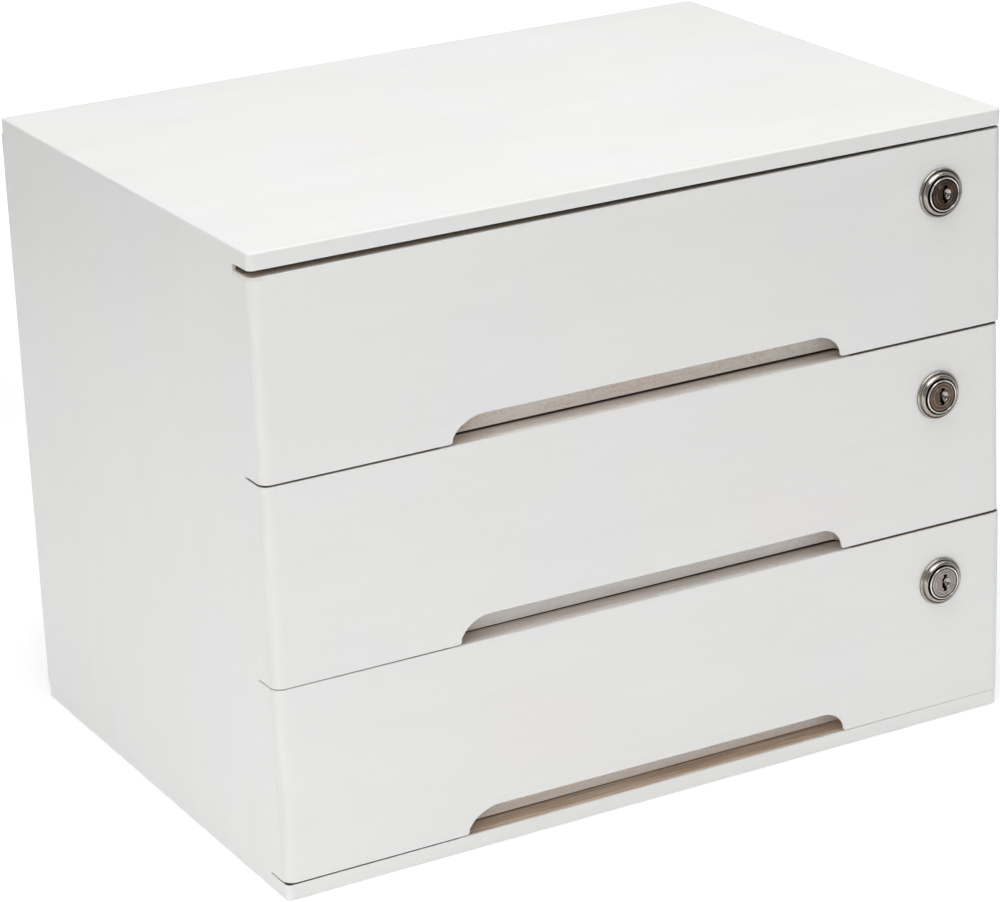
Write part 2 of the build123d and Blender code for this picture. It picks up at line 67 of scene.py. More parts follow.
# ------------------------------------------------------------- node helper
class Graph:
    """Short calls for shader nodes.  Every value is a socket or a constant."""

    def __init__(self, name):
        self.mat = bpy.data.materials.new(name)
        self.mat.use_nodes = True
        self.tree = self.mat.node_tree
        self.tree.nodes.clear()
        self.out = self.tree.nodes.new("ShaderNodeOutputMaterial")
        self.bsdf = self.tree.nodes.new("ShaderNodeBsdfPrincipled")
        self.tree.links.new(self.bsdf.outputs[0], self.out.inputs[0])
        coord = self.tree.nodes.new("ShaderNodeTexCoord")
        self.p = self.vmath("SCALE", coord.outputs["Object"], scale=MM)
        self.n = coord.outputs["Normal"]
        self.x, self.y, self.z = self.split(self.p)
        self.nx, self.ny, self.nz = self.split(self.n)

    def put(self, socket, value):
        if isinstance(value, bpy.types.NodeSocket):
            self.tree.links.new(value, socket)
        elif isinstance(value, (tuple, list)):
            if len(value) == 3 and len(socket.default_value) == 4:
                value = (*value, 1.0)
            socket.default_value = value
        else:
            socket.default_value = value

    def split(self, v):
        n = self.tree.nodes.new("ShaderNodeSeparateXYZ")
        self.put(n.inputs[0], v)
        return n.outputs[0], n.outputs[1], n.outputs[2]

    def join(self, x, y, z):
        n = self.tree.nodes.new("ShaderNodeCombineXYZ")
        for i, v in enumerate((x, y, z)):
            self.put(n.inputs[i], v)
        return n.outputs[0]

    def vmath(self, op, a, b=None, scale=None):
        n = self.tree.nodes.new("ShaderNodeVectorMath")
        n.operation = op
        self.put(n.inputs[0], a)
        if b is not None:
            self.put(n.inputs[1], b)
        if scale is not None:
            self.put(n.inputs["Scale"], scale)
        return n.outputs["Value"] if op in ("LENGTH", "DOT_PRODUCT", "DISTANCE") else n.outputs[0]

    def m(self, op, a, b=None, c=None, clamp=False):
        n = self.tree.nodes.new("ShaderNodeMath")
        n.operation = op
        n.use_clamp = clamp
        self.put(n.inputs[0], a)
        if b is not None:
            self.put(n.inputs[1], b)
        if c is not None:
            self.put(n.inputs[2], c)
        return n.outputs[0]

    def add(self, a, b): return self.m("ADD", a, b)
    def sub(self, a, b): return self.m("SUBTRACT", a, b)
    def mul(self, a, b): return self.m("MULTIPLY", a, b)
    def div(self, a, b): return self.m("DIVIDE", a, b)
    def lo(self, a, b): return self.m("MINIMUM", a, b)
    def hi(self, a, b): return self.m("MAXIMUM", a, b)
    def abs(self, a): return self.m("ABSOLUTE", a)
    def inv(self, a): return self.m("SUBTRACT", 1.0, a)

    def step(self, x, a, b, smooth=True, to=(0.0, 1.0)):
        """0 at x = a to 1 at x = b, eased."""
        n = self.tree.nodes.new("ShaderNodeMapRange")
        n.interpolation_type = "SMOOTHSTEP" if smooth else "LINEAR"
        n.clamp = True
        self.put(n.inputs[0], x)
        for i, v in zip((1, 2, 3, 4), (a, b, *to)):
            self.put(n.inputs[i], v)
        return n.outputs[0]

    def noise(self, v, scale=1.0, detail=2.0, rough=0.5, distort=0.0, color=False):
        n = self.tree.nodes.new("ShaderNodeTexNoise")
        self.put(n.inputs["Vector"], v)
        n.inputs["Scale"].default_value = scale
        n.inputs["Detail"].default_value = detail
        n.inputs["Roughness"].default_value = rough
        n.inputs["Distortion"].default_value = distort
        return n.outputs["Color"] if color else n.outputs["Fac"]

    def cells(self, v, scale=1.0, feature="F1", rand=1.0):
        n = self.tree.nodes.new("ShaderNodeTexVoronoi")
        n.feature = feature
        self.put(n.inputs["Vector"], v)
        n.inputs["Scale"].default_value = scale
        n.inputs["Randomness"].default_value = rand
        return n.outputs["Distance"]

    def stretch(self, sx, sy, sz, off=(0, 0, 0)):
        """The point in mm, moved by off and scaled on each axis."""
        v = self.vmath("ADD", self.p, tuple(off))
        return self.vmath("MULTIPLY", v, (sx, sy, sz))

    def ramp(self, x, stops, mode="LINEAR"):
        n = self.tree.nodes.new("ShaderNodeValToRGB")
        n.color_ramp.interpolation = mode
        el = n.color_ramp.elements
        while len(el) > 1:
            el.remove(el[-1])
        el[0].position, el[0].color = stops[0][0], (*stops[0][1], 1.0)
        for pos, col in stops[1:]:
            e = el.new(pos)
            e.color = (*col, 1.0)
        self.put(n.inputs[0], x)
        return n.outputs[0]

    def mix(self, f, a, b, blend="MIX"):
        n = self.tree.nodes.new("ShaderNodeMix")
        n.data_type = "RGBA"
        n.blend_type = blend
        n.clamp_factor = True
        self.put(n.inputs["Factor"], f)
        self.put(n.inputs[6], a)
        self.put(n.inputs[7], b)
        return n.outputs[2]

    def mixf(self, f, a, b):
        n = self.tree.nodes.new("ShaderNodeMix")
        n.data_type = "FLOAT"
        n.clamp_factor = True
        self.put(n.inputs["Factor"], f)
        self.put(n.inputs[2], a)
        self.put(n.inputs[3], b)
        return n.outputs[0]

    def shade(self, color, value):
        """A colour multiplied by a number."""
        return self.vmath("SCALE", color, scale=value)

    def bump(self, height_mm, strength=1.0):
        n = self.tree.nodes.new("ShaderNodeBump")
        n.inputs["Distance"].default_value = 1.0 / MM
        n.inputs["Strength"].default_value = strength
        self.put(n.inputs["Height"], height_mm)
        return n.outputs[0]

    def finish(self, color, rough, height=None, metallic=0.0, ior=1.5,
               specular=0.5, strength=1.0):
        b = self.bsdf
        self.put(b.inputs["Base Color"], color)
        self.put(b.inputs["Roughness"], rough)
        b.inputs["Metallic"].default_value = metallic
        b.inputs["IOR"].default_value = ior
        b.inputs["Specular IOR Level"].default_value = specular
        if height is not None:
            self.put(b.inputs["Normal"], self.bump(height, strength))
        return self.mat


def seed_of(name):
    """A fixed offset in mm for each board, so that no two share a grain."""
    k = sum((i + 3) * ord(c) for i, c in enumerate(name))
    return ((k * 37) % 911, (k * 53) % 797, (k * 71) % 883)


# ---------------------------------------------------------------- surfaces
AXES = {"x": 0, "y": 1, "z": 2}


def wood(g, name, grain, thick, t_mid, t_size, tone=1.0, plies=5):
    """Light veneer plywood.  grain is the face grain's axis, thick the board's
    thickness axis, t_mid its middle plane and t_size its thickness in mm.
    Gives colour, roughness and height sockets."""
    off = seed_of(name)
    n = (g.nx, g.ny, g.nz)
    q = (g.x, g.y, g.z)
    # warped point, so that the figure drifts along the board
    warp = g.noise(g.vmath("ADD", g.p, off), scale=0.006, detail=2.0, color=True)
    warp = g.vmath("SCALE", g.vmath("SUBTRACT", warp, (0.5, 0.5, 0.5)), scale=26.0)
    p = g.vmath("ADD", g.vmath("ADD", g.p, off), warp)

    def along(k_long, k_cross):
        s = [k_cross] * 3
        s[AXES[grain]] = k_long
        return g.vmath("MULTIPLY", p, tuple(s))

    bands = g.noise(along(0.0035, 0.085), scale=1.0, detail=3.0, rough=0.55)
    streaks = g.noise(along(0.012, 0.62), scale=1.0, detail=4.0, rough=0.65)
    pores = g.noise(along(0.11, 3.4), scale=1.0, detail=2.0, rough=0.6)
    face = g.ramp(bands, [(0.30, (0.66, 0.485, 0.300)), (0.45, (0.745, 0.575, 0.375)),
                          (0.58, (0.700, 0.520, 0.325)), (0.72, (0.79, 0.635, 0.435))])
    face = g.mix(g.step(streaks, 0.40, 0.72), face, (0.590, 0.415, 0.245))
    pore = g.step(pores, 0.60, 0.74)
    face = g.mix(g.mul(pore, 0.45), face, (0.40, 0.265, 0.15))
    # cut edges show the plies
    t = q[AXES[thick]]
    layer = g.div(g.add(g.sub(t, t_mid), t_size / 2.0), t_size / plies)
    layer = g.add(layer, g.mul(g.sub(g.noise(g.p, scale=0.05), 0.5), 0.22))
    odd = g.m("PINGPONG", layer, 1.0)
    odd = g.step(odd, 0.42, 0.58)
    cut = g.noise(g.vmath("MULTIPLY", g.p, (1.7, 1.7, 1.7)), scale=1.0, detail=3.0)
    end = g.ramp(cut, [(0.3, (0.33, 0.205, 0.115)), (0.7, (0.52, 0.36, 0.22))])
    side = g.ramp(cut, [(0.3, (0.62, 0.46, 0.29)), (0.7, (0.76, 0.60, 0.41))])
    glue = g.step(g.abs(g.sub(g.m("FRACT", layer), 0.5)), 0.44, 0.49)
    edge_col = g.mix(odd, side, end)
    edge_col = g.mix(g.mul(glue, 0.6), edge_col, (0.20, 0.12, 0.07))
    on_edge = g.inv(g.step(g.abs(n[AXES[thick]]), 0.55, 0.75))
    color = g.mix(on_edge, face, edge_col)
    if tone != 1.0:
        color = g.shade(color, tone)
    rough = g.mixf(streaks, 0.55, 0.75)
    fuzz = g.noise(g.p, scale=2.6, detail=3.0)
    h = g.add(g.mul(pore, -0.020), g.mul(streaks, 0.020))
    h_edge = g.mul(cut, 0.10)
    h = g.add(g.mixf(on_edge, h, h_edge), g.mul(fuzz, 0.012))
    return color, rough, h


def paint(g, name, grain, white=(0.800, 0.800, 0.790)):
    """Sprayed satin white over a sanded board whose grain just telegraphs.
    On the cabinet's two sides it was sprayed as one face over all boards."""
    flank = g.step(g.abs(g.nx), 0.70, 0.72, smooth=False)
    off = seed_of(name + "p")
    shared = seed_of("left_sidep")
    p_own, p_all = g.vmath("ADD", g.p, off), g.vmath("ADD", g.p, shared)

    def field(across, along):
        own, all_ = [across] * 3, [across] * 3
        own[AXES[grain]] = along
        all_[AXES["z"]] = along
        return g.mix(flank, g.vmath("MULTIPLY", p_own, tuple(own)),
                     g.vmath("MULTIPLY", p_all, tuple(all_)))

    p = g.mix(flank, p_own, p_all)
    streak = g.noise(field(0.55, 0.010), scale=1.0, detail=4.0, rough=0.6)
    cloud = g.noise(field(0.07, 0.012), scale=1.0, detail=3.0, rough=0.55)
    drift = g.noise(p, scale=0.011, detail=2.0, color=True)
    color = g.shade(white, g.add(0.985, g.mul(g.sub(cloud, 0.5), 0.050)))
    color = g.shade(color, g.add(1.0, g.mul(g.sub(streak, 0.5), 0.030)))
    tint = g.vmath("SCALE", g.vmath("SUBTRACT", drift, (0.5, 0.5, 0.5)), scale=0.026)
    color = g.vmath("ADD", color, tint)
    peel = g.noise(p, scale=0.85, detail=2.0, rough=0.5)
    fine = g.noise(p, scale=4.5, detail=2.0, rough=0.5)
    h = g.add(g.mul(peel, 0.014), g.mul(fine, 0.0022))
    h = g.add(h, g.mul(streak, 0.006))
    rough = g.mixf(cloud, 0.34, 0.50)
    rough = g.add(rough, g.mul(g.sub(peel, 0.5), 0.08))
    return color, rough, h


def edge_amount(g):
    """0 on a flat face, 1 in the middle of a rounded edge."""
    big = g.hi(g.hi(g.abs(g.nx), g.abs(g.ny)), g.abs(g.nz))
    return g.step(big, 0.995, 0.80)


def blend_in(g, f, a, b):
    """Mix of two (colour, roughness, height) surfaces."""
    return (g.mix(f, a[0], b[0]), g.mixf(f, a[1], b[1]), g.mixf(f, a[2], b[2]))


def worn_edges(g, surface, name, amount=0.35, tint=(0.62, 0.55, 0.44)):
    """Thin paint on the rounded edges between faces, and a few rubbed spots."""
    color, rough, h = surface
    p = g.vmath("ADD", g.p, seed_of(name + "e"))
    # only edges that turn up or down: the upright corners have their own look
    e = g.mul(edge_amount(g), g.step(g.abs(g.nz), 0.12, 0.40))
    blotch = g.noise(g.vmath("MULTIPLY", p, (0.16, 0.16, 0.05)), scale=1.0, detail=4.0, rough=0.62)
    thin = g.mul(e, g.step(blotch, 0.35, 0.75))
    color = g.mix(g.mul(thin, amount), color, tint)
    chip = g.noise(p, scale=0.42, detail=5.0, rough=0.7)
    chip = g.mul(g.mul(g.step(chip, 0.66, 0.72), g.step(e, 0.55, 0.95)), 0.8)
    color = g.mix(chip, color, (0.47, 0.36, 0.24))
    h = g.sub(h, g.mul(chip, 0.03))
    return color, rough, h


def upright_corner(g, surface, name):
    """A rounded upright edge: a soft grey band of painted shade where the
    rounding meets the side, and a faint yellowish one beside it."""
    color, rough, h = surface
    p = g.vmath("ADD", g.p, seed_of(name + "c"))
    level = g.step(g.abs(g.nz), 0.30, 0.10)
    sway = g.mul(g.sub(g.noise(g.vmath("MULTIPLY", p, (0.02, 0.02, 0.045)), scale=1.0, detail=3.0), 0.5), 0.5)
    turn = g.add(g.abs(g.nx), sway)
    ny = g.mul(g.ny, -1.0)
    rounding = g.mul(g.mul(g.step(ny, 0.01, 0.16), g.step(ny, 0.999, 0.97)), level)
    grey = g.mul(g.step(turn, 0.52, 0.86), rounding)
    patchy = g.noise(g.vmath("MULTIPLY", p, (0.2, 0.2, 0.035)), scale=1.0, detail=4.0, rough=0.6)
    grey = g.mul(grey, g.step(patchy, 0.28, 0.68, to=(0.45, 1.0)))
    # painted shade: the grey band on the rounding
    color = g.mix(g.mul(grey, 0.16), color, (0.42, 0.405, 0.385))
    cream = g.mul(g.mul(g.step(turn, 0.10, 0.34), g.step(turn, 0.72, 0.42)), rounding)
    cream = g.mul(cream, g.step(patchy, 0.36, 0.66, to=(0.3, 1.0)))
    color = g.mix(g.mul(cream, 0.13), color, (0.70, 0.60, 0.45))
    return color, rough, h


# ------------------------------------------------------------------ boards
def reach_of(g, amount):
    """Distance in mm from a panel's rim, roughened where overspray ends."""
    d = g.lo(g.lo(g.sub(g.x, X_LEFT), g.sub(X_RIGHT, g.x)),
             g.lo(g.sub(g.y, Y_FRONT), g.sub(Y_BACK, g.y)))
    return g.add(d, g.mul(g.sub(g.noise(g.p, scale=0.5, detail=4.0), 0.5), amount))


def mat_top_panel():
    g = Graph("top_panel_paint")
    w = paint(g, "top_panel", "x")
    w = worn_edges(g, w, "top_panel", 0.10)
    raw = wood(g, "top_panel", "x", "z", 277.0, 7.3)
    # painted shade: the bare underside is darkened to 0.30 of the wood's tone, so the gap above the top drawer
    # reads dark
    raw = (g.shade(raw[0], 0.30), raw[1], raw[2])
    inner = g.step(g.nz, -0.80, -0.95)
    inner = g.mul(inner, g.step(reach_of(g, 1.2), 0.2, 1.6))
    c, r, h = blend_in(g, inner, w, raw)
    return g.finish(c, r, h)


def mat_bottom_panel():
    g = Graph("bottom_panel_paint")
    w = paint(g, "bottom_panel", "x")
    w = worn_edges(g, w, "bottom_panel", 0.10)
    raw = wood(g, "bottom_panel", "x", "z", 3.4, 6.8, tone=0.72)
    # a thin pinkish sealer where the finger recess opens onto the panel
    grain = g.noise(g.vmath("MULTIPLY", g.vmath("ADD", g.p, seed_of("bottom_seal")), (0.03, 0.9, 0.9)),
                    scale=1.0, detail=5.0, rough=0.65)
    seal = g.mix(g.step(grain, 0.38, 0.62), (0.82, 0.665, 0.53), (0.58, 0.425, 0.305))
    sealed = g.mul(g.mul(g.step(g.y, Y_FRONT + 14.0, Y_FRONT + 12.0), g.step(g.abs(g.x), 104.0, 100.0)),
                   g.step(g.nz, 0.75, 0.96))
    raw = (g.mix(sealed, raw[0], seal), raw[1], raw[2])
    inner = g.step(g.nz, 0.75, 0.96)
    shown = g.step(g.abs(g.x), 102.0, 99.0)
    inner = g.mul(inner, g.step(reach_of(g, 0.8), g.mixf(shown, 0.1, 0.5), g.mixf(shown, 0.8, 1.5)))
    # light no longer reaches the panel behind the finger recess
    deep_shade = g.mul(g.step(g.nz, 0.75, 0.96), g.step(g.y, Y_FRONT + 11.3, Y_FRONT + 12.2))
    under = g.mul(g.step(g.nz, -0.8, -0.95),
                  g.step(g.noise(g.p, scale=0.03, detail=5.0, rough=0.6), 0.50, 0.72))
    inner = g.hi(inner, g.mul(under, 0.25))
    c, r, h = blend_in(g, inner, w, raw)
    near = g.step(g.y, Y_FRONT + 19.0, Y_FRONT + 16.0)
    c = g.mix(g.mul(g.mul(deep_shade, near), 0.9), c, (0.075, 0.058, 0.045))
    # painted shade: the hidden strip under the front, away from the recess, is darkened so the gap line reads
    # dark; it fades out towards the right
    gap_shade_strip = g.mul(g.step(g.nz, 0.75, 0.96), g.mul(near, g.inv(shown)))
    c = g.mix(g.mul(g.mul(gap_shade_strip, inner), g.step(g.x, 150.0, 60.0)), c, (0.080, 0.064, 0.052))
    # painted light: the front sits on the panel at the right and at the left end's rear; there the hidden strip
    # is painted white so the gap line reads faint
    gap_light_patch = g.hi(g.step(g.x, 70.0, 130.0),
                 g.mul(g.step(g.x, X_LEFT + 5.0, X_LEFT + 3.0), g.step(g.y, Y_FRONT + 6.0, Y_FRONT + 8.5)))
    c = g.mix(g.mul(gap_shade_strip, gap_light_patch), c, (0.800, 0.800, 0.790))
    return g.finish(c, r, h)


def mat_side(name, sign):
    g = Graph(name + "_paint")
    w = paint(g, name, "z")
    edge = X_LEFT if sign < 0 else X_RIGHT
    raw = wood(g, name, "z", "x", edge - sign * 4.0, 8.0)
    inward = g.mul(g.nx, -float(sign))
    # painted on the outside and the rear edge; on the front edge only the
    # outermost strip, and the inside is bare
    inside = g.step(inward, 0.5, 0.8)
    hidden = g.step(g.abs(g.nz), 0.5, 0.8)
    d = g.sub(g.y, Y_FRONT + FRONT_T)
    d = g.add(d, g.mul(g.sub(g.noise(g.p, scale=0.06, detail=5.0), 0.5), 22.0))
    inside = g.mul(inside, g.step(d, 2.0, 16.0, to=(0.6, 1.0)))
    rim = g.abs(g.sub(g.x, edge))
    rim = g.add(rim, g.mul(g.sub(g.noise(g.p, scale=0.7, detail=3.0), 0.5), 0.8))
    front = g.mul(g.step(g.ny, -0.6, -0.8), g.step(rim, 1.3, 2.0))
    c, r, h = blend_in(g, g.hi(g.hi(inside, hidden), front), w, raw)
    # painted shade: behind the white strip the bare front edge is made near black, so it reads dark where it
    # shows in the gaps
    c = g.mix(g.mul(front, 0.8), c, (0.07, 0.055, 0.042))
    return g.finish(c, r, h)


def mat_back_panel():
    g = Graph("back_panel_paint")
    w = paint(g, "back_panel", "z", white=(0.775, 0.775, 0.765))
    raw = wood(g, "back_panel", "z", "y", 127.4, 4.0, plies=3)
    c, r, h = blend_in(g, g.step(g.ny, 0.8, 0.5), w, raw)
    return g.finish(c, r, h)


def mat_plain(name, grain, thick, t_mid, t_size, tone=1.0, plies=5):
    g = Graph(name + "_wood")
    c, r, h = wood(g, name, grain, thick, t_mid, t_size, tone, plies)
    return g.finish(c, r, h)


def mat_front(d):
    """Drawer front: white face and ends, a thin grey-brown coat on the upper and lower
    edges darkened inward as painted shade, a rubbed primer in the finger recess, bare at the back."""
    name = d + "_drawer_front"
    zbl, zbr, ztl, ztr = FRONT_Z[d]
    g = Graph(name + "_paint")
    w = paint(g, name, "x")
    w = upright_corner(g, worn_edges(g, w, name, 0.08), name)
    raw = wood(g, name, "x", "y", Y_FRONT + FRONT_T / 2, FRONT_T, tone=0.86, plies=9)
    depth = g.sub(g.y, Y_FRONT)
    ends = g.lo(g.sub(g.x, X_LEFT), g.sub(X_RIGHT + 1.4, g.x))

    # upper and lower edges: the white wraps a little over the arris, then a
    # worn coat that gets dark with depth, which is painted shade of the gaps
    speck = g.noise(g.vmath("MULTIPLY", g.p, (0.55, 1.1, 1.1)), scale=1.0, detail=5.0, rough=0.7)
    drift = g.noise(g.vmath("MULTIPLY", g.p, (0.02, 0.3, 0.3)), scale=1.0, detail=3.0)
    rough_edge = g.add(g.mul(g.sub(speck, 0.5), 2.2), g.mul(g.sub(drift, 0.5), 2.0))
    level = g.step(g.abs(g.nz), 0.86, 0.97)
    inset = g.lo(depth, g.add(ends, 0.1))
    upper = g.step(g.nz, 0.5, 0.8)
    # under a finger recess, feathered where the fronts above hide it
    opened = g.step(g.abs(g.x), 102.0, 99.5)
    feather = g.step(g.add(g.abs(g.x), g.mul(g.sub(speck, 0.5), 16.0)), 117.0, 100.0)
    opened = g.mul(g.hi(opened, g.mul(feather, g.step(depth, 2.2, 4.5))), upper)
    if d == "top":
        opened = 0.0
    narrow = g.step(g.x, -150.0, 170.0, smooth=False)
    if d == "top":
        wrap_to, fade = g.mixf(narrow, 0.85, 1.25), 2.6
    else:
        wrap_to, fade = g.mixf(opened, 0.30 if d == "bottom" else 0.42, 0.95), g.mixf(opened, 1.8, 1.5)
    wrap = g.step(g.add(inset, g.mul(rough_edge, g.mul(wrap_to, 0.35))), g.mul(wrap_to, fade), wrap_to)
    if d == "top":      # the widest gap, which some light gets into at the left
        coat = g.mix(g.step(speck, 0.35, 0.70), (0.74, 0.65, 0.57), (0.54, 0.45, 0.38))
        # painted shade: to the right, where the gap narrows, the coat is dark brown
        coat = g.mix(narrow, coat, (0.20, 0.165, 0.14))
        dark_from = g.mixf(narrow, 7.4, 2.4)
        dark_to = g.add(dark_from, 1.2)
        tanned = g.mixf(narrow, 0.60, 0.10)
    else:
        # a brown coat, this dark partly as painted shade for the gaps between the fronts
        coat = g.mix(g.step(speck, 0.35, 0.70), (0.200, 0.170, 0.145), (0.150, 0.122, 0.100))
        dark_from, dark_to = 3.6, 5.4
        tanned = g.mul(g.inv(opened), 0.55)
    open_coat = g.ramp(g.div(g.add(depth, rough_edge), 12.0),
                       [(0.00, (0.92, 0.91, 0.90)), (0.30, (0.92, 0.90, 0.88)),
                        (0.55, (0.90, 0.86, 0.82)), (0.90, (0.84, 0.78, 0.72))])
    open_coat = g.mix(g.mul(g.step(speck, 0.50, 0.66), 0.32), open_coat, (0.54, 0.44, 0.36))
    swept = g.noise(g.vmath("MULTIPLY", g.p, (0.045, 0.9, 0.9)), scale=1.0, detail=5.0, rough=0.65)
    open_coat = g.mix(g.mul(g.step(swept, 0.44, 0.62), 0.36), open_coat, (0.62, 0.52, 0.43))
    open_coat = g.mix(g.mul(g.step(g.abs(g.x), 62.0, 92.0), 0.50), open_coat, (0.52, 0.42, 0.34))
    coat = g.mix(opened, coat, open_coat)
    # tan, rubbed arris between the two
    tan = g.mul(g.step(inset, 0.25, 0.6), g.step(inset, 2.0, 1.0))
    coat = g.mix(g.mul(tan, tanned), coat, (0.60, 0.48, 0.36))
    # no light comes in past the recess, nor far between the boards
    past = g.mixf(opened, g.step(depth, dark_from, dark_to), g.step(depth, 11.2, 12.1))
    shut = (0.105, 0.083, 0.066) if d == "top" else (0.165, 0.134, 0.110)
    coat = g.mix(g.mul(past, 0.93), coat, g.mix(opened, shut, (0.060, 0.045, 0.035)))
    coat = (coat, g.mixf(speck, 0.80, 0.95), g.mul(speck, 0.05))
    c, r, h = blend_in(g, g.mul(level, g.inv(wrap)), w, coat)

    if d == "top":      # upper left end, rubbed where the top is lifted
        rub = g.mul(g.step(g.x, X_LEFT + 9.0, X_LEFT + 3.0), g.step(g.z, ztl - 2.2, ztl - 0.4))
        rub = g.mul(rub, g.step(speck, 0.30, 0.62, to=(0.35, 1.0)))
        c = g.mix(g.mul(rub, 0.55), c, (0.66, 0.54, 0.44))

    # back of the board
    c, r, h = blend_in(g, g.step(g.ny, 0.5, 0.8), (c, r, h), raw)

    # inside the recess: rear wall, ends and ceiling
    p = g.vmath("ADD", g.p, seed_of(name + "w"))
    inner = g.mul(g.step(g.abs(g.x), 104.0, 103.0), g.step(depth, 0.85, 1.25))
    inner = g.mul(inner, g.step(g.z, (min(ztl, ztr) + zbl) / 2, (min(ztl, ztr) + zbl) / 2 - 20))
    inner = g.mul(inner, g.inv(g.mul(level, 1.0)))
    inner = g.mul(inner, g.step(g.ny, 0.5, 0.2))
    patch = g.noise(g.vmath("MULTIPLY", p, (0.030, 0.10, 0.16)), scale=1.0, detail=5.0, rough=0.62)
    fleck = g.noise(g.vmath("MULTIPLY", p, (0.35, 0.5, 0.8)), scale=1.0, detail=4.0, rough=0.7)
    pale = d == "middle"      # painted light: the middle recess's wall is paler, standing in for more light there, and less flecked
    prime = g.mix(g.step(patch, 0.40, 0.64), (0.97, 0.95, 0.93) if pale else (0.95, 0.905, 0.87),
                  (0.96, 0.92, 0.89) if pale else (0.93, 0.84, 0.755))
    toward = g.step(g.x, 20.0, 95.0)
    prime = g.mix(g.mul(g.step(fleck, 0.50, 0.68), g.add(0.06 if pale else 0.22, g.mul(toward, 0.20))),
                  prime, (0.55, 0.41, 0.28))
    dots = g.noise(p, scale=1.35, detail=3.0, rough=0.65)
    dots = g.mul(g.step(dots, 0.52, 0.62), g.step(patch, 0.42, 0.56))
    prime = g.mix(g.mul(dots, 0.25 if pale else 0.60), prime, (0.68, 0.52, 0.35))
    # lighter at the foot of the wall: the sanded lower arris, partly a painted highlight where it catches light
    foot = g.mul(g.step(g.z, zbl + 2.0, zbl + 1.1), g.step(g.abs(g.nx), 0.5, 0.2))
    prime = g.mix(g.mul(foot, 0.8), prime, (0.97, 0.91, 0.85))
    # the curved ends darker brown: bare end grain, partly painted shade
    prime = g.mix(g.mul(g.step(g.abs(g.nx), 0.2, 0.8), 0.6), prime, (0.52, 0.40, 0.29))
    primed = (prime, g.mixf(fleck, 0.6, 0.75), g.mul(fleck, 0.05))
    c, r, h = blend_in(g, inner, (c, r, h), primed)
    return g.finish(c, r, h)


# ------------------------------------------------------------------ metals
def mat_nickel(name, cx, cz, base=(0.42, 0.39, 0.355), rings=(), plug=None):
    """Turned satin nickel about a lock's axis, darker in its grooves as painted shade."""
    g = Graph(name + "_nickel")
    dx, dz = g.sub(g.x, cx), g.sub(g.z, cz)
    r = g.m("SQRT", g.add(g.mul(dx, dx), g.mul(dz, dz)))
    out = g.sub(Y_FRONT, g.y)
    p = g.vmath("ADD", g.p, seed_of(name))
    grime = g.noise(p, scale=0.35, detail=5.0, rough=0.65)
    fine = g.noise(p, scale=3.0, detail=3.0)
    facing = g.step(g.abs(g.ny), 0.6, 0.9)
    turn = g.mul(g.m("SINE", g.mul(r, 2 * math.pi / 0.42)), facing)
    wob = g.noise(g.join(g.mul(r, 3.2), g.mul(g.step(r, 0.0, 9.0), 2.0), 3.0), scale=1.0, detail=3.0, rough=0.7)
    col = g.shade(base, g.add(0.95, g.mul(g.sub(grime, 0.5), 0.50)))
    if plug:
        # the face: brown tarnish in uneven turned bands, none on the rim nor
        # in the scoop beside the keyway
        band = g.step(wob, 0.38, 0.66)
        tarnish, bright = plug
        col = g.mix(g.mul(band, 0.75), col, tarnish)
        lines = g.mul(g.add(g.m("SINE", g.mul(r, 2 * math.pi / 1.05)), 1.0), 0.5)
        col = g.mix(g.mul(lines, 0.50), col, tarnish)
        # turned lines where the tarnish has been rubbed off
        bare = g.step(g.noise(p, scale=0.22, detail=3.0), 0.36, 0.60, to=(0.25, 1.0))
        for at in (5.75, 4.35):
            line = g.mul(g.step(g.abs(g.sub(r, at)), 0.32, 0.10), facing)
            col = g.mix(g.mul(g.mul(line, bare), 0.60), col, tuple(min(0.5, v * 2.4) for v in base))
        col = g.mix(g.mul(g.step(r, 6.8, 7.0), 0.9), col, (0.88, 0.85, 0.81))
        scoop = g.mul(g.step(g.abs(g.ny), 0.985, 0.93), g.step(r, 4.2, 3.6))
        col = g.mix(g.mul(scoop, 0.85), col, bright)
        # painted shade: the scoop's side by the keyway is near black, widening the keyway's dark
        col = g.mix(g.mul(scoop, g.step(dx, 0.95, 0.45)), col, (0.03, 0.024, 0.020))
    col = g.mix(g.mul(g.step(grime, 0.50, 0.75), 0.35), col, (0.17, 0.135, 0.10))
    # painted shade: near-black lines in the flange's groove and in the gap round the plug
    for at, width, dark in rings:
        line = g.step(g.abs(g.sub(r, at)), width, width * 0.3)
        col = g.mix(g.mul(line, dark), col, (0.03, 0.025, 0.02))
    rough = g.add(0.08, g.mul(grime, 0.12))
    rough = g.add(rough, g.mul(fine, 0.03))
    h = g.add(g.mul(turn, 0.0020), g.mul(wob, 0.010))
    h = g.add(h, g.mul(fine, 0.0015))
    # painted shade: the hollow parts inside the flange are made near black
    deep_shade = g.step(out, 2.0, 0.4)
    deep_shade = g.mul(deep_shade, g.step(r, 9.3, 8.5))
    col = g.mix(g.mul(deep_shade, 0.92), col, (0.02, 0.016, 0.012))
    return g.finish(col, rough, h, metallic=1.0)


def mat_zinc(name, cx=0.0, cz=0.0):
    g = Graph(name + "_zinc")
    p = g.vmath("ADD", g.p, seed_of(name))
    haze = g.noise(p, scale=0.30, detail=5.0, rough=0.6)
    fine = g.noise(p, scale=3.5, detail=3.0)
    col = g.mix(haze, (0.60, 0.63, 0.67), (0.70, 0.68, 0.62))
    rough = g.add(0.28, g.mul(haze, 0.20))
    h = g.mul(fine, 0.005)
    return g.finish(col, rough, h, metallic=1.0)


